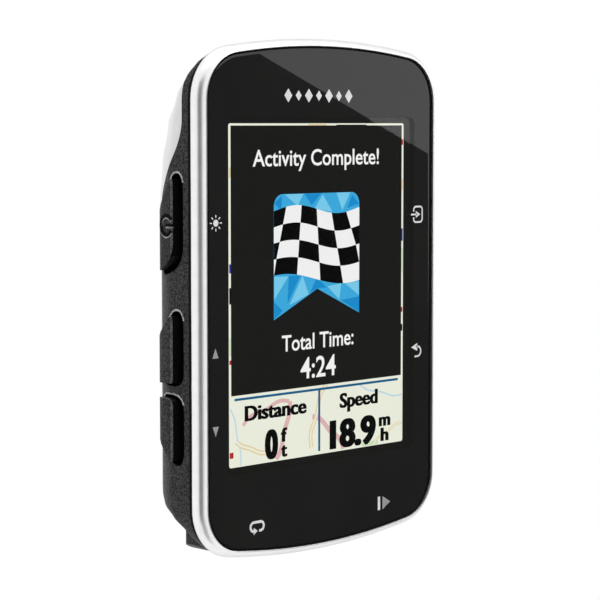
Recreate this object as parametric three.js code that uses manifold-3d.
// A handlebar cycling computer with a portrait display, seven sealed buttons and a quarter-turn mount.
//
// Millimetres. +Z is up, the display faces -Y and +X is the rider's right. The origin is the centre of
// the mount's rear face, so everything lies at Y below 0. Each sub-part is one named mesh.
//
// The case is one smooth boat-shaped body, split along a swept seam into a black middle frame and a white
// rear cover. A white ring and the cover glass close its front.
import * as THREE from "three";
import { mergeVertices } from "three/addons/utils/BufferGeometryUtils.js";
import Module from "manifold-3d";

const wasm = await Module();
wasm.setup();

// ---------------------------------------------------------------- driving dimensions

// The cover glass: a rectangle with round corners whose top and bottom edges bow outwards.
const GLASS = { halfWidth: 22.15, top: 33.7, bottom: -35.5, corner: 6.1, bow: 120 };
// How far the white ring and the case reach past the glass, at the ends and at the sides. At the sides the
// ring's inner lip lies this much further from the glass.
const RING_REACH = { ends: 1.25, sides: 1.8 };
const CASE_REACH = { ends: 0.85, sides: 1.6 };
const LIP_FURTHER = 0.2;
// The flat of the rear cover that carries the mount and the port flap.
const PLATEAU = { halfWidth: 12.6, top: 21, bottom: -25.5, corner: 6, bow: 200 };

// Stations along Y, from the front to the back.
const RING_CREST = -21.2;
const GLASS_FRONT = -20.9;
const GLASS_BACK = -20.15;
const SCREEN_FRONT = -19.55;
const RING_BACK = -19.25;
const CASE_FRONT = -19.1;
const BOARD_FRONT = -13.4;
const BOARD_BACK = -12.6;
const PLATEAU_Y = -5;
const MOUNT_BACK = 0;

const WALL = 2;
const PLATEAU_WALL = 2;
const SEAM_GAP = 0.15;
const FIT_GAP = 0.15;

const CORNER_STEPS = 6;
const BOW_STEPS = 6;
const SIDE_STEPS = 8;
const ROUND_STEPS = 28;

// ---------------------------------------------------------------- materials

function finish(color, roughness, metalness = 0) {
  return new THREE.MeshStandardMaterial({ color, roughness, metalness });
}

const MATERIALS = {
  glass: finish(0x1d1d1d, 0.12),
  ring: finish(0xf2f2f2, 0.25, 0.2),
  caseBlack: finish(0x2b2b2b, 0.6),
  coverWhite: finish(0xeeeeee, 0.35),
  button: finish(0x303030, 0.55),
  rubber: finish(0x151515, 0.8),
  mount: finish(0x1f1f1f, 0.5),
  steel: finish(0xa8abae, 0.3, 1),
  screen: finish(0x20261f, 0.3),
  whitePlastic: finish(0xe6e6e2, 0.5),
  flex: finish(0xb5701e, 0.45),
  board: finish(0x14502c, 0.5),
  tin: finish(0xb9bcc0, 0.35, 1),
  ceramic: finish(0xd9cfb8, 0.6),
  foil: finish(0xbfc3c8, 0.35, 0.9),
  foam: finish(0x2a2a2d, 0.95),
  wireRed: finish(0xb01818, 0.5),
  wireBlack: finish(0x161616, 0.5),
};

// ---------------------------------------------------------------- solids

// A three.js geometry as a manifold-3d solid.
function solid(geometry) {
  const bare = new THREE.BufferGeometry();
  const flat = geometry.index ? geometry.toNonIndexed() : geometry;
  bare.setAttribute("position", flat.getAttribute("position"));
  const merged = mergeVertices(bare, 1e-4);
  return new wasm.Manifold(
    new wasm.Mesh({
      numProp: 3,
      vertProperties: merged.attributes.position.array,
      triVerts: new Uint32Array(merged.index.array),
    }),
  );
}

// A manifold-3d solid as a three.js geometry.
function geometryOf(made) {
  const mesh = made.getMesh();
  const geometry = new THREE.BufferGeometry();
  geometry.setAttribute("position", new THREE.BufferAttribute(mesh.vertProperties, 3));
  geometry.setIndex(new THREE.BufferAttribute(mesh.triVerts, 1));
  geometry.computeVertexNormals();
  return geometry;
}

const join = (first, ...others) => others.reduce((sum, next) => sum.add(next), first);
const cut = (first, ...others) => others.reduce((rest, next) => rest.subtract(next), first);

const computer = new THREE.Group();

// Adds a solid or a geometry to the assembly as a named mesh.
function place(name, shape, material) {
  const geometry = shape.isBufferGeometry ? shape : geometryOf(shape);
  const mesh = new THREE.Mesh(geometry, material);
  mesh.name = name;
  computer.add(mesh);
  return mesh;
}

// ---------------------------------------------------------------- outlines and basic shapes

function arcPoints(centreX, centreY, radius, from, to, steps) {
  return Array.from({ length: steps }, (_, i) => {
    const angle = from + ((to - from) * i) / steps;
    return new THREE.Vector2(centreX + radius * Math.cos(angle), centreY + radius * Math.sin(angle));
  });
}

// The outline of a bowed round rectangle grown by an offset, which can be larger at its upright sides.
function outline({ halfWidth, top, bottom, corner, bow }, offset = 0, sideOffset = offset, sideSteps = 1) {
  const centreX = halfWidth - corner + sideOffset - offset;
  const rise = Math.sqrt((bow - corner) ** 2 - centreX ** 2);
  const lean = Math.asin(centreX / (bow - corner));
  const upper = top - bow + rise;
  const lower = bottom + bow - rise;
  const radius = corner + offset;
  const bowRadius = bow + offset;
  const side = halfWidth + sideOffset;
  const quarter = Math.PI / 2;
  const straight = (x, from, to) =>
    Array.from({ length: sideSteps }, (_, i) => {
      return new THREE.Vector2(x, from + ((to - from) * i) / sideSteps);
    });
  return [
    ...straight(side, lower, upper),
    ...arcPoints(centreX, upper, radius, 0, quarter - lean, CORNER_STEPS),
    ...arcPoints(0, top - bow, bowRadius, quarter - lean, quarter + lean, BOW_STEPS),
    ...arcPoints(-centreX, upper, radius, quarter + lean, 2 * quarter, CORNER_STEPS),
    ...straight(-side, upper, lower),
    ...arcPoints(-centreX, lower, radius, 2 * quarter, 3 * quarter - lean, CORNER_STEPS),
    ...arcPoints(0, bottom + bow, bowRadius, 3 * quarter - lean, 3 * quarter + lean, BOW_STEPS),
    ...arcPoints(centreX, lower, radius, 3 * quarter + lean, 4 * quarter, CORNER_STEPS),
  ];
}

// Stands a shape drawn in X and Z between two Y stations.
function slab(shape, front, back) {
  return new THREE.ExtrudeGeometry(shape, { depth: back - front, bevelEnabled: false, curveSegments: 6 })
    .rotateX(Math.PI / 2)
    .translate(0, back, 0);
}

function roundRect(width, height, radius, centreX = 0, centreY = 0) {
  const x = centreX - width / 2;
  const y = centreY - height / 2;
  const shape = new THREE.Shape();
  shape.moveTo(x + radius, y);
  shape.lineTo(x + width - radius, y);
  shape.absarc(x + width - radius, y + radius, radius, -Math.PI / 2, 0, false);
  shape.lineTo(x + width, y + height - radius);
  shape.absarc(x + width - radius, y + height - radius, radius, 0, Math.PI / 2, false);
  shape.lineTo(x + radius, y + height);
  shape.absarc(x + radius, y + height - radius, radius, Math.PI / 2, Math.PI, false);
  shape.lineTo(x, y + radius);
  shape.absarc(x + radius, y + radius, radius, Math.PI, 1.5 * Math.PI, false);
  return shape;
}

// A box between two corners.
function box(x0, y0, z0, x1, y1, z1) {
  return new THREE.BoxGeometry(x1 - x0, y1 - y0, z1 - z0).translate(
    (x0 + x1) / 2,
    (y0 + y1) / 2,
    (z0 + z1) / 2,
  );
}

// A cylinder along Y at a place in X and Z.
function post(x, z, radius, front, back, steps = ROUND_STEPS) {
  return new THREE.CylinderGeometry(radius, radius, back - front, steps).translate(
    x,
    (front + back) / 2,
    z,
  );
}

// Joins rings of points into one closed skin. A hoop's last ring meets its first again, and any other
// loft is closed at each end by a fan about the ring's middle.
function loft(rings, hoop = false) {
  const count = rings[0].length;
  const positions = rings.flat().flatMap((p) => [p.x, p.y, p.z]);
  const index = [];
  const spans = hoop ? rings.length : rings.length - 1;
  for (let r = 0; r < spans; r++) {
    for (let i = 0; i < count; i++) {
      const a = r * count + i;
      const b = r * count + ((i + 1) % count);
      const c = ((r + 1) % rings.length) * count + i;
      const d = ((r + 1) % rings.length) * count + ((i + 1) % count);
      index.push(a, b, d, a, d, c);
    }
  }
  if (!hoop) {
    for (const [ring, start, turned] of [
      [rings[0], 0, true],
      [rings.at(-1), (rings.length - 1) * count, false],
    ]) {
      const hub = positions.length / 3;
      const middle = ring.reduce((sum, p) => sum.add(p), new THREE.Vector3()).divideScalar(count);
      positions.push(...middle.toArray());
      for (let i = 0; i < count; i++) {
        const a = start + i;
        const b = start + ((i + 1) % count);
        index.push(hub, turned ? b : a, turned ? a : b);
      }
    }
  }
  const geometry = new THREE.BufferGeometry();
  geometry.setAttribute("position", new THREE.Float32BufferAttribute(positions, 3));
  geometry.setIndex(index);
  return geometry;
}

// ---------------------------------------------------------------- the case body

const WALL_SHARE = 0.28; // how much of the depth is upright wall before the case turns in
const TURN_POWER = 1.33; // above 1 the turn is flatter than an ellipse
const TURN_STEPS = 8;

// The case gets shallow towards its two ends: the share of full depth at a height.
const DEPTH_SHARE = [
  [-36.8, 0.2],
  [-33.5, 0.28],
  [-31.5, 0.46],
  [-30, 0.79],
  [-28.5, 0.97],
  [-26.5, 1.01],
  [8, 1],
  [13, 1.01],
  [18, 0.94],
  [23, 0.78],
  [27, 0.55],
  [29.5, 0.33],
  [31.2, 0.2],
  [32.8, 0.03],
];

function depthShare(height) {
  const last = DEPTH_SHARE.length - 1;
  if (height <= DEPTH_SHARE[0][0]) return DEPTH_SHARE[0][1];
  if (height >= DEPTH_SHARE[last][0]) return DEPTH_SHARE[last][1];
  const i = DEPTH_SHARE.findIndex(([h]) => h > height) - 1;
  const [h0, s0] = DEPTH_SHARE[i];
  const [h1, s1] = DEPTH_SHARE[i + 1];
  return THREE.MathUtils.lerp(s0, s1, THREE.MathUtils.smoothstep(height, h0, h1));
}

// The solid body of the case, or the same body grown smaller by an inset.
function caseBody(inset = 0, plateauInset = inset, frontExtra = 0) {
  const rim = outline(GLASS, CASE_REACH.ends - inset, CASE_REACH.sides - inset, SIDE_STEPS);
  const flat = outline(PLATEAU, 0, 0, SIDE_STEPS);
  const depth = PLATEAU_Y - plateauInset - CASE_FRONT;
  const ringAt = (turn, wallShare) => {
    const inward = 1 - Math.cos(turn) ** TURN_POWER;
    const reach = wallShare + (1 - WALL_SHARE) * Math.sin(turn) ** TURN_POWER;
    return rim.map((p, i) => {
      const x = THREE.MathUtils.lerp(p.x, flat[i].x, inward);
      const z = THREE.MathUtils.lerp(p.y, flat[i].y, inward);
      const share = THREE.MathUtils.lerp(depthShare(z), 1, reach ** 4);
      return new THREE.Vector3(x, CASE_FRONT + depth * reach * share, z);
    });
  };
  const first = rim.map((p) => new THREE.Vector3(p.x, CASE_FRONT - frontExtra, p.y));
  const rings = [first];
  for (let i = 0; i <= TURN_STEPS; i++) {
    rings.push(ringAt((i / TURN_STEPS) * (Math.PI / 2), WALL_SHARE));
  }
  return solid(loft(rings.map((ring) => [...ring].reverse())));
}

// The seam between frame and cover, as heights and Y stations from the bottom to the top. It runs level
// along the flanks, then sweeps forwards over the upper third.
const SEAM_REAR = -11.8;
const SEAM_FRONT = -17.6;
const SEAM_SWEEP_LOW = 10.6;
const SEAM_SWEEP_HIGH = 24;
const FAR = 60;

// Everything behind the seam moved by a shift along Y, as one block across the whole width.
function behindSeam(shift) {
  const shape = new THREE.Shape();
  shape.moveTo(SEAM_REAR + shift, -FAR);
  shape.lineTo(SEAM_REAR + shift, SEAM_SWEEP_LOW);
  shape.bezierCurveTo(
    SEAM_REAR + shift,
    SEAM_SWEEP_LOW + 5,
    SEAM_FRONT + shift,
    SEAM_SWEEP_HIGH - 5,
    SEAM_FRONT + shift,
    SEAM_SWEEP_HIGH,
  );
  shape.lineTo(SEAM_FRONT + shift, FAR);
  shape.lineTo(FAR, FAR);
  shape.lineTo(FAR, -FAR);
  const options = { depth: 2 * FAR, bevelEnabled: false, curveSegments: 9 };
  const block = new THREE.ExtrudeGeometry(shape, options);
  block.applyMatrix4(
    new THREE.Matrix4().makeBasis(
      new THREE.Vector3(0, 1, 0),
      new THREE.Vector3(0, 0, 1),
      new THREE.Vector3(1, 0, 0),
    ),
  );
  return solid(block.translate(-FAR, 0, 0));
}

const outerBody = caseBody();
const cavity = caseBody(WALL, PLATEAU_WALL, 1);

// ---------------------------------------------------------------- front: ring, glass and display

// A hoop that follows the glass's edge. Its section gives each point's share of the ring's reach past the
// glass and its station along Y, and how much further out the point lies at the sides. Points under the
// glass have a negative share, which is in millimetres.
function hoopRoundGlass(section) {
  const rings = section.map(([share, y, further = 0]) => {
    const ends = share > 0 ? share * RING_REACH.ends : share;
    const sides = share > 0 ? share * RING_REACH.sides + further : share;
    return outline(GLASS, ends, sides).map((p) => new THREE.Vector3(p.x, y, p.y));
  });
  return loft(rings, true);
}

function bezelRing() {
  const depth = 1.45;
  const section = [
    [-1.9, RING_BACK],
    [0.94, RING_BACK],
    [1, RING_BACK - 0.15],
  ];
  for (let i = 0; i <= 6; i++) {
    const angle = (i / 6) * THREE.MathUtils.degToRad(76);
    section.push([Math.cos(angle), RING_CREST + depth - depth * Math.sin(angle)]);
  }
  section.push(
    [0.21, RING_CREST + 0.02, LIP_FURTHER],
    [0.19, RING_CREST + 0.12, LIP_FURTHER],
    [0.19, -19.8, LIP_FURTHER],
    [-1.9, -19.8],
  );
  place("bezel_ring", hoopRoundGlass(section), MATERIALS.ring);
}

// The black adhesive lies under the glass's border and stands up round its edge.
function glassAndSeal() {
  place("cover_glass", slab(new THREE.Shape(outline(GLASS)), GLASS_FRONT, GLASS_BACK), MATERIALS.glass);
  const adhesive = hoopRoundGlass([
    [-1.75, -19.85],
    [0.16, -19.85, LIP_FURTHER],
    [0.16, GLASS_FRONT + 0.05, LIP_FURTHER],
    [0.03, GLASS_FRONT + 0.05],
    [0.03, GLASS_BACK + 0.05],
    [-1.75, GLASS_BACK + 0.05],
  ]);
  place("glass_adhesive", adhesive, MATERIALS.foam);
}

const PANEL = { width: 38.4, top: 24.6, bottom: -26.2 };

function displayStack() {
  const middle = (PANEL.top + PANEL.bottom) / 2;
  const height = PANEL.top - PANEL.bottom;
  const sheet = (shrink) => roundRect(PANEL.width - shrink, height - shrink, 0.8, 0, middle);
  place("lcd_panel", slab(sheet(0), SCREEN_FRONT, -18.75), MATERIALS.screen);
  place("backlight_unit", slab(sheet(0.6), -18.65, -17.75), MATERIALS.whitePlastic);
  const tray = cut(
    solid(slab(sheet(-0.1), -17.65, -16.75)),
    solid(slab(roundRect(26, 30, 3, 0, 0), -18, -16)),
  );
  place("display_tray", tray, MATERIALS.whitePlastic);
}

// The display's flat cable leaves the panel's lower edge and folds back onto the board.
function displayFlex() {
  const path = new THREE.Shape();
  const out = PANEL.bottom - 0.2;
  const low = out - 0.3;
  const bend = 1.2;
  const thick = 0.25;
  const [front, back] = [-19.5, -13.7];
  path.moveTo(front, out);
  path.lineTo(front, low);
  path.absarc(front + bend, low, bend, Math.PI, 1.5 * Math.PI, false);
  path.lineTo(back - bend, low - bend);
  path.absarc(back - bend, low, bend, 1.5 * Math.PI, 2 * Math.PI, false);
  path.lineTo(back, out + 1.8);
  path.lineTo(back - thick, out + 1.8);
  path.lineTo(back - thick, low);
  path.absarc(back - bend, low, bend - thick, 2 * Math.PI, 1.5 * Math.PI, true);
  path.lineTo(front + bend, low - bend + thick);
  path.absarc(front + bend, low, bend - thick, 1.5 * Math.PI, Math.PI, true);
  path.lineTo(front + thick, out);
  const strip = new THREE.ExtrudeGeometry(path, { depth: 14, bevelEnabled: false, curveSegments: 5 });
  strip.applyMatrix4(
    new THREE.Matrix4().makeBasis(
      new THREE.Vector3(0, 1, 0),
      new THREE.Vector3(0, 0, 1),
      new THREE.Vector3(1, 0, 0),
    ),
  );
  strip.translate(-7, 0, 0);
  place("display_flex", strip, MATERIALS.flex);
}

// ---------------------------------------------------------------- buttons

// A button's own frame has u along Y, v along the edge that it sits on and w out of the case.
const FRAMES = {
  left: [new THREE.Vector3(0, 1, 0), new THREE.Vector3(0, 0, -1), new THREE.Vector3(-1, 0, 0)],
  right: [new THREE.Vector3(0, 1, 0), new THREE.Vector3(0, 0, 1), new THREE.Vector3(1, 0, 0)],
  bottom: [new THREE.Vector3(0, 1, 0), new THREE.Vector3(1, 0, 0), new THREE.Vector3(0, 0, -1)],
};
// seat is where the inner face of the case wall lies along w, and face the cap's outer end. A button can
// stand prouder than that.
const SIDE_FIT = { seat: 21.7, face: 24.5 };
const BOTTOM_FIT = { seat: 30, face: 37 };
const STEM_U = -14.9;
const POCKET_GAP = { front: 1.4, rear: 0.3, ends: 0.4 };
const BOOT_GAP = { front: 1.9, rear: 0.6, ends: 0.75 };

// Caps are four-cornered: a long front edge and a rear edge that the sweep cuts short. Each corner gives
// u, height along the edge, and the radius it is rounded to.
const CAP_FRONT = -16.3;
const CAP_REAR = -12.95;
const BUTTONS = [
  {
    name: "power",
    edge: "left",
    corners: [
      [CAP_FRONT, 16.7, 1.6],
      [CAP_REAR, 10.8, 0.9],
      [CAP_REAR, 3.5, 0.5],
      [CAP_FRONT, 4.6, 3.3],
    ],
    opening: [
      [CAP_FRONT, 16.7, 1.6],
      [CAP_REAR, 10.8, 0.9],
      [CAP_REAR, 3.3, 0.5],
      [CAP_FRONT, 3.9, 3.3],
    ],
  },
  {
    name: "up",
    edge: "left",
    proud: 0.15,
    corners: [
      [CAP_FRONT, -1.7, 1.5],
      [CAP_REAR, -5.75, 0.9],
      [CAP_REAR, -11.45, 0.6],
      [CAP_FRONT, -11.45, 0.6],
    ],
  },
  {
    name: "down",
    edge: "left",
    proud: 0.15,
    corners: [
      [CAP_FRONT, -13.45, 1],
      [CAP_REAR, -13.45, 0.6],
      [CAP_REAR, -18.6, 0.9],
      [CAP_FRONT, -22.6, 1.5],
    ],
  },
  {
    name: "enter",
    edge: "right",
    corners: [
      [CAP_FRONT, 15, 0.9],
      [CAP_REAR, 11.6, 0.9],
      [CAP_REAR, 5.2, 0.7],
      [CAP_FRONT, 5.2, 1.6],
    ],
  },
  {
    name: "back",
    edge: "right",
    corners: [
      [CAP_FRONT, -5.2, 1.6],
      [CAP_REAR, -5.2, 0.7],
      [CAP_REAR, -11.6, 0.9],
      [CAP_FRONT, -15, 0.9],
    ],
  },
  {
    name: "lap",
    edge: "bottom",
    corners: [
      [-17.1, -19.8, 1.2],
      [-13.7, -19.8, 1.2],
      [-13.7, -7, 1.2],
      [-17.1, -7, 1.2],
    ],
  },
  {
    name: "start",
    edge: "bottom",
    corners: [
      [-17.1, 6.2, 1.2],
      [-13.7, 6.2, 1.2],
      [-13.7, 19, 1.2],
      [-17.1, 19, 1.2],
    ],
  },
];

// Moves each side of a four-cornered outline outwards. Side i joins corner i to the next one, and the
// sides of a cap are its first end, its rear, its second end and its front, in that order.
function grownCorners(corners, { front, rear, ends }, extraRadius = 0) {
  const sign = THREE.ShapeUtils.isClockWise(corners.map(([u, v]) => new THREE.Vector2(u, v))) ? -1 : 1;
  const sides = corners.map(([u, v], i) => {
    const [nextU, nextV] = corners[(i + 1) % corners.length];
    const along = new THREE.Vector2(nextU - u, nextV - v).normalize();
    const out = new THREE.Vector2(along.y, -along.x).multiplyScalar(sign * [ends, rear, ends, front][i]);
    return { at: new THREE.Vector2(u, v).add(out), along };
  });
  return corners.map(([, , r], i) => {
    const [before, after] = [sides.at(i - 1), sides[i]];
    const reach = after.at.clone().sub(before.at).cross(after.along) / before.along.cross(after.along);
    const { x, y } = before.at.clone().addScaledVector(before.along, reach);
    return [x, y, r + extraRadius];
  });
}

// Turns the acute tips of a grown outline into arches, level with the tips of the outline that it was
// grown from. The upright side of a tip gets a second cut lower down.
const ARCH = { fall: 1.3, run: 0.65 };

function bluntedTips(grown, corners, radius) {
  return grown.flatMap(([u, v, r], i) => {
    const neighbours = [grown.at(i - 1), grown[(i + 1) % grown.length]];
    const [a, b] = neighbours.map(([nu, nv]) => new THREE.Vector2(nu - u, nv - v));
    if (a.angleTo(b) > THREE.MathUtils.degToRad(60)) return [[u, v, r]];
    const level = corners[i][1];
    const cuts = [a, b].map((side) => {
      if (Math.abs(side.x) > 1e-6) return [[u + ((level - v) / side.y) * side.x, level, radius]];
      return [
        [u, level + Math.sign(side.y) * ARCH.fall, radius],
        [u + ARCH.run, level, radius],
      ];
    });
    return Math.abs(a.x) > 1e-6 ? [...cuts[0], ...cuts[1].reverse()] : cuts.flat();
  });
}

// An outline with each corner rounded. Where two roundings would meet on a side, both shrink.
function roundedPolygon(corners) {
  const shape = new THREE.Shape();
  const points = corners.map(([u, v]) => new THREE.Vector2(u, v));
  points.forEach((at, i) => {
    const [toBefore, toAfter] = [points.at(i - 1), points[(i + 1) % points.length]].map((p) =>
      p.clone().sub(at),
    );
    const wanted = corners[i][2];
    const share = [
      [toBefore.length(), corners.at(i - 1)[2]],
      [toAfter.length(), corners[(i + 1) % corners.length][2]],
    ].map(([side, other]) => (0.97 * side) / (wanted + other));
    const radius = wanted * Math.min(1, ...share);
    const before = toBefore.setLength(radius).add(at);
    const after = toAfter.setLength(radius).add(at);
    if (i === 0) shape.moveTo(before.x, before.y);
    else shape.lineTo(before.x, before.y);
    shape.quadraticCurveTo(at.x, at.y, after.x, after.y);
  });
  shape.closePath();
  return shape;
}

// Extrudes a shape drawn in u and v from w0 to w1 on one edge of the case.
function onEdge(edge, shape, w0, w1) {
  const geometry = new THREE.ExtrudeGeometry(shape, {
    depth: w1 - w0,
    bevelEnabled: false,
    curveSegments: 4,
  });
  geometry.translate(0, 0, w0);
  return solid(geometry.applyMatrix4(new THREE.Matrix4().makeBasis(...FRAMES[edge])));
}

// A button cap from w0 to w1, its outer rim rounded over.
function capOnEdge(edge, corners, w0, w1, round) {
  const rings = [
    [0, w0],
    [0, w1 - round],
    [-0.3 * round, w1 - 0.3 * round],
    [-round, w1],
  ].map(([grow, w]) => {
    const grown = grownCorners(corners, { front: grow, rear: grow, ends: grow });
    const points = roundedPolygon(grown).getPoints(4);
    if (points[0].distanceTo(points.at(-1)) < 1e-6) points.pop();
    if (THREE.ShapeUtils.isClockWise(points)) points.reverse();
    return points.map((p) => new THREE.Vector3(p.x, p.y, w));
  });
  return solid(loft(rings).applyMatrix4(new THREE.Matrix4().makeBasis(...FRAMES[edge])));
}

function disc(u, v, radius) {
  const shape = new THREE.Shape();
  shape.absarc(u, v, radius, 0, 2 * Math.PI, false);
  return shape;
}

// The corners in the button's own frame: v runs downwards on the left edge.
function framedCorners({ edge, corners }) {
  return edge === "left" ? corners.map(([u, height, r]) => [u, -height, r]) : corners;
}

// The outline that the pocket and the boot are grown from: the cap's own, unless another is given.
function openingCorners(button) {
  return framedCorners({ ...button, corners: button.opening ?? button.corners });
}

function middleOf(corners) {
  const values = corners.map(([, v]) => v);
  return (Math.max(...values) + Math.min(...values)) / 2;
}

const PRESS_ROOM = 0.8;

// The hole through the wall, and the flat seat for the boot behind it.
function buttonOpenings(button) {
  const corners = openingCorners(button);
  const { seat, face } = button.edge === "bottom" ? BOTTOM_FIT : SIDE_FIT;
  const pocket = roundedPolygon(bluntedTips(grownCorners(corners, POCKET_GAP, 1.3), corners, 1.2));
  const { front, rear, ends } = BOOT_GAP;
  const seating = { front: front + FIT_GAP, rear: rear + FIT_GAP, ends: ends + FIT_GAP };
  return [
    onEdge(button.edge, pocket, seat - 0.5, face + 2),
    onEdge(button.edge, roundedPolygon(grownCorners(corners, seating)), seat - 3.2, seat),
  ];
}

// A cap with its stem, the boot that seals it, and the switch that it presses.
function buttonParts(button) {
  const { name, edge } = button;
  const corners = framedCorners(button);
  const v = middleOf(corners);
  const { seat, face } = edge === "bottom" ? BOTTOM_FIT : SIDE_FIT;
  let cap = capOnEdge(edge, corners, seat + PRESS_ROOM, face + (button.proud ?? 0), 0.35);
  if (edge === "bottom") {
    const envelope = slab(new THREE.Shape(outline(GLASS, 0.95)), -20, -10);
    cap = cap.intersect(solid(envelope));
  }
  const key = join(
    cap,
    onEdge(edge, disc(STEM_U, v, 1.1), seat - 1, seat + 1.2),
    onEdge(edge, disc(STEM_U, v, 1.6), seat - 1.15, seat - 0.75),
    onEdge(edge, disc(STEM_U, v, 0.9), seat - 1.65, seat - 1),
  );
  place(`${name}_button`, key, MATERIALS.button);

  const plate = roundedPolygon(grownCorners(openingCorners(button), BOOT_GAP));
  plate.holes.push(disc(STEM_U, v, 1.25));
  place(`${name}_boot`, onEdge(edge, plate, seat - 0.65, seat - 0.1), MATERIALS.rubber);

  const plunger = onEdge(edge, disc(STEM_U, v, 0.6), seat - 2.85, seat - 1.75);
  place(`${name}_switch_plunger`, plunger, MATERIALS.whitePlastic);
  const housing = cut(
    onEdge(edge, roundRect(2.8, 4.6, 0.3, STEM_U, v), seat - 5.4, seat - 2.65),
    onEdge(edge, disc(STEM_U, v, 0.75), seat - 3.5, seat - 2),
  );
  place(`${name}_switch`, housing, MATERIALS.caseBlack);
}

// ---------------------------------------------------------------- frame and rear cover

const SCREWS = [
  [-15.4, 18],
  [15.4, 18],
  [-17.9, -24.4],
  [17.9, -24.4],
];
const SCREW = { shank: 0.75, head: 1.75, headHeight: 1.3, tip: -15.6 };
const BOSS_RADIUS = 1.9;
const BOSS_FRONT = -16.4;
const SEAT_Y = -10.8; // where the screw heads land in the cover

const SEAL = { outer: 0.55, inner: 1.2, half: 0.4 };

// A loop of the case wall between two insets, cut to a band about the seam.
function sealBand(outer, inner, half) {
  const loop = caseBody(outer, outer, -0.5).subtract(caseBody(inner, inner, 1));
  return loop.intersect(behindSeam(-half)).subtract(behindSeam(half));
}

const sealGroove = sealBand(SEAL.outer - 0.12, SEAL.inner + 0.12, SEAL.half + 0.1);

function middleFrame() {
  const shelf = (low, high) => solid(box(low, -18.2, -40, high, -12.9, -29.4));
  let shell = cut(outerBody, cavity);
  shell = join(shell, outerBody.intersect(join(shelf(-21.4, -5.4), shelf(4.6, 20.6))));
  shell = cut(shell, behindSeam(-SEAM_GAP / 2), sealGroove);
  for (const [x, z] of SCREWS) {
    const side = Math.sign(x);
    const wallX = side * 22;
    const rib = box(Math.min(x, wallX), BOSS_FRONT, z - 0.7, Math.max(x, wallX), -13.6, z + 0.7);
    const boss = solid(post(x, z, BOSS_RADIUS, BOSS_FRONT, BOARD_FRONT - 0.1));
    shell = join(shell, boss, cut(solid(rib), behindSeam(-2 * SEAM_GAP)));
    shell = cut(shell, solid(post(x, z, SCREW.shank + 0.1, BOSS_FRONT + 0.5, -12, 16)));
  }
  for (const button of BUTTONS) {
    shell = cut(shell, ...buttonOpenings(button));
  }
  return shell;
}

const PORT = { z: -20.9, width: 8.2, height: 3.3 };
const FLAP = { width: 14, height: 7.4, corner: 2, thick: 1.3, plug: 0.9 };
const FLAP_TOP = PORT.z + FLAP.height / 2;
const ANCHOR = { width: 6, height: 1.3 };
const RECESS_FLOOR = PLATEAU_Y - 1.5;
const VENT = { x: 10.9, z: -19.4 };

function rearCover() {
  const posts = SCREWS.map(([x, z]) => solid(post(x, z, BOSS_RADIUS + 0.5, BOARD_BACK + 0.1, -6)));
  const portBlock = solid(box(-9, -9, -26, 9, -6, -16.2));
  const inside = outerBody.intersect(join(portBlock, ...posts));
  let shell = join(cut(outerBody, cavity), inside).intersect(behindSeam(SEAM_GAP / 2));
  shell = cut(shell, sealGroove);
  for (const [x, z] of SCREWS) {
    shell = cut(shell, solid(post(x, z, SCREW.shank + 0.15, -14, -5, 16)));
    shell = cut(shell, solid(post(x, z, SCREW.head + 0.15, SEAT_Y, -1)));
  }
  const recess = roundRect(FLAP.width + 0.4, FLAP.height + 0.4, FLAP.corner, 0, PORT.z);
  const anchorTop = FLAP_TOP + 0.2 + ANCHOR.height;
  shell = cut(
    shell,
    solid(slab(recess, RECESS_FLOOR, 0)),
    solid(box(-ANCHOR.width / 2 - 0.2, RECESS_FLOOR, PORT.z, ANCHOR.width / 2 + 0.2, 0, anchorTop + 0.2)),
    solid(slab(roundRect(PORT.width, PORT.height, 0.8, 0, PORT.z), -12, -4)),
    solid(post(VENT.x, VENT.z, 0.6, -10, 0, 12)),
    solid(post(VENT.x, VENT.z + 2.4, 0.6, -10, 0, 12)),
  );
  for (const side of [-1, 1]) {
    shell = cut(shell, solid(post(side * MOUNT.screwX, 0, SCREW.shank + 0.1, -6.6, -4, 16)));
  }
  return shell;
}

function caseParts() {
  place("middle_frame", middleFrame(), MATERIALS.caseBlack);
  place("rear_cover", rearCover(), MATERIALS.coverWhite);
  place("case_seal", sealBand(SEAL.outer, SEAL.inner, SEAL.half), MATERIALS.rubber);
  SCREWS.forEach(([x, z], i) => {
    place(`case_screw_${i + 1}`, screw(x, z, SEAT_Y + 0.05, SCREW.tip), MATERIALS.steel);
  });
}

// A pan-head screw along Y with a six-sided drive, its head's underside at seat.
function screw(x, z, seat, tip) {
  const driveTop = seat + SCREW.headHeight;
  return cut(
    join(
      solid(post(x, z, SCREW.head, seat, driveTop, 20)),
      solid(post(x, z, SCREW.shank, tip, seat + 0.3, 12)),
    ),
    solid(post(x, z, 0.85, driveTop - 0.8, driveTop + 1, 6)),
  );
}

// ---------------------------------------------------------------- quarter-turn mount

const MOUNT = { hub: 11.8, tab: 15.3, tabThick: 2.2, tabHalfAngle: 36, screwX: 6.75 };

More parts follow.
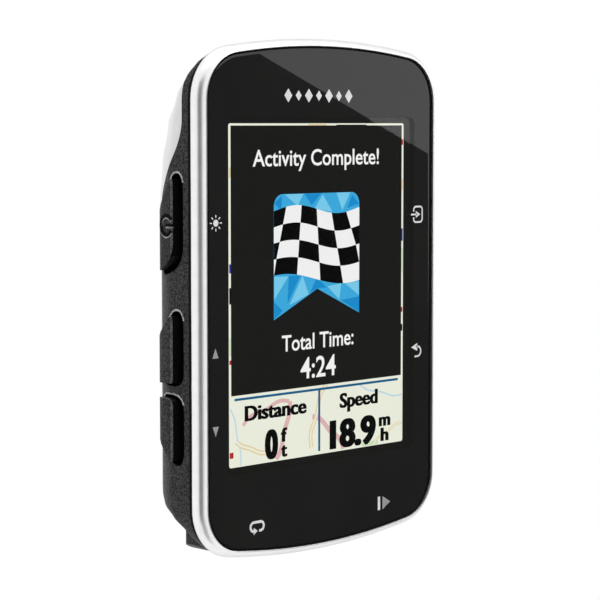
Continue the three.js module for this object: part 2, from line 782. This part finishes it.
// A hub with two opposed tabs, at the top and the bottom, that turn in under a bracket's lips.
function mountParts() {
  const half = THREE.MathUtils.degToRad(MOUNT.tabHalfAngle);
  const tabs = [Math.PI / 2, -Math.PI / 2].map((centre) => {
    const shape = new THREE.Shape();
    shape.moveTo(0, 0);
    shape.lineTo(MOUNT.tab * Math.cos(centre - half), MOUNT.tab * Math.sin(centre - half));
    shape.absarc(0, 0, MOUNT.tab, centre - half, centre + half, false);
    const notch = solid(post(0, Math.sign(centre) * (MOUNT.tab + 0.45), 1.1, -4, 1, 16));
    return cut(solid(slab(shape, MOUNT_BACK - MOUNT.tabThick, MOUNT_BACK)), notch);
  });
  const groove = new THREE.Shape();
  groove.absarc(0, 0, 8.9, 0, 2 * Math.PI, false);
  groove.holes.push(disc(0, 0, 4.6));
  let hub = join(solid(post(0, 0, MOUNT.hub, PLATEAU_Y + 0.1, MOUNT_BACK, 48)), ...tabs);
  hub = cut(hub, solid(slab(groove, MOUNT_BACK - 2.4, 1)));
  [-1, 1].forEach((side, i) => {
    hub = cut(hub, solid(post(side * MOUNT.screwX, 0, SCREW.shank + 0.15, -6, 0, 16)));
    const fixing = screw(side * MOUNT.screwX, 0, MOUNT_BACK - 2.35, -6.4);
    place(`mount_screw_${i + 1}`, fixing, MATERIALS.steel);
  });
  place("quarter_turn_mount", hub, MATERIALS.mount);
}

// ---------------------------------------------------------------- port, flap and vent

function portParts() {
  const mouth = RECESS_FLOOR - 0.9;
  const z = PORT.z;
  const shell = cut(
    solid(box(-3.75, BOARD_BACK + 0.1, z - 1.35, 3.75, mouth, z + 1.35)),
    solid(box(-3.5, BOARD_BACK + 1, z - 1.1, 3.5, mouth + 1, z + 1.1)),
  );
  const tongue = solid(box(-2.9, BOARD_BACK + 0.5, z - 0.3, 2.9, mouth - 1, z + 0.3));
  place("usb_socket", join(shell, tongue), MATERIALS.tin);

  const plate = roundRect(FLAP.width, FLAP.height, FLAP.corner - 0.2, 0, z);
  const lip = box(-2, -5.2, z - FLAP.height / 2 + 0.3, 2, PLATEAU_Y + 0.35, z - FLAP.height / 2 + 1);
  const flap = join(
    solid(slab(plate, PLATEAU_Y - FLAP.thick, PLATEAU_Y)),
    solid(slab(roundRect(6.2, 1.8, 0.6, 0, z), PLATEAU_Y - FLAP.thick - FLAP.plug, PLATEAU_Y - 1)),
    solid(lip),
  );
  place("usb_flap", flap, MATERIALS.rubber);
  const low = FLAP_TOP + 0.2;
  const anchor = box(
    -ANCHOR.width / 2,
    RECESS_FLOOR + 0.1,
    low,
    ANCHOR.width / 2,
    PLATEAU_Y,
    low + ANCHOR.height,
  );
  place("usb_flap_anchor", anchor, MATERIALS.rubber);
  const inner = PLATEAU_Y - PLATEAU_WALL;
  place("vent_membrane", post(VENT.x, VENT.z + 1.2, 1.9, inner - 0.35, inner - 0.15, 16), MATERIALS.foam);
}

// ---------------------------------------------------------------- board, battery and sensors

function boardParts() {
  const blank = solid(slab(roundRect(38.4, 50, 5, 0, -2.5), BOARD_FRONT, BOARD_BACK));
  const notches = SCREWS.map(([x, z]) => solid(post(x, z, SCREW.shank + 0.4, -14, -12, 16)));
  place("main_board", cut(blank, ...notches), MATERIALS.board);
  const can = slab(roundRect(24, 22, 1, 0, 1), -15.1, BOARD_FRONT - 0.1);
  place("shield_can", can, MATERIALS.tin);
  place("buzzer", post(0, -18.2, 4.4, -15.6, BOARD_FRONT - 0.1, 24), MATERIALS.caseBlack);
  const patch = slab(roundRect(12, 8.4, 0.6, 0, 15.2), BOARD_BACK + 0.1, -8.7);
  place("gps_antenna", patch, MATERIALS.ceramic);
  place("pressure_sensor", box(9.6, BOARD_BACK + 0.1, -19.4, 12.2, -11.4, -17.2), MATERIALS.tin);
}

const BATTERY = { halfWidth: 13.5, low: -14.6, high: 8.4, front: -12, back: -7.4 };

function batteryParts() {
  const middle = (BATTERY.low + BATTERY.high) / 2;
  const height = BATTERY.high - BATTERY.low;
  const cell = roundRect(2 * BATTERY.halfWidth, height, 1.5, 0, middle);
  place("battery_cell", slab(cell, BATTERY.front, BATTERY.back), MATERIALS.foil);
  const pad = roundRect(20, 14, 1, 0, middle);
  place("battery_pad", slab(pad, BOARD_BACK + 0.1, BATTERY.front - 0.1), MATERIALS.foam);
  const plug = box(11.4, BOARD_BACK + 0.1, 11.6, 15.4, -11, 14);
  place("battery_connector", plug, MATERIALS.whitePlastic);
  for (const [name, shift, material] of [
    ["battery_lead_red", 0, MATERIALS.wireRed],
    ["battery_lead_black", 1.5, MATERIALS.wireBlack],
  ]) {
    const route = new THREE.CatmullRomCurve3([
      new THREE.Vector3(10.6 + shift, -9.6, BATTERY.high + 0.15),
      new THREE.Vector3(10.8 + shift, -9.7, BATTERY.high + 1),
      new THREE.Vector3(12.2 + shift, -10.6, BATTERY.high + 1.8),
      new THREE.Vector3(12.6 + shift, -11.7, BATTERY.high + 2.4),
      new THREE.Vector3(12.6 + shift, -11.8, BATTERY.high + 3.05),
    ]);
    const section = disc(0, 0, 0.4);
    const wire = new THREE.ExtrudeGeometry(section, { steps: 16, extrudePath: route, curveSegments: 4 });
    place(name, wire, material);
  }
}

// ---------------------------------------------------------------- assembly

bezelRing();
glassAndSeal();
displayStack();
displayFlex();
caseParts();
mountParts();
portParts();
BUTTONS.forEach(buttonParts);
boardParts();
batteryParts();

export default computer;
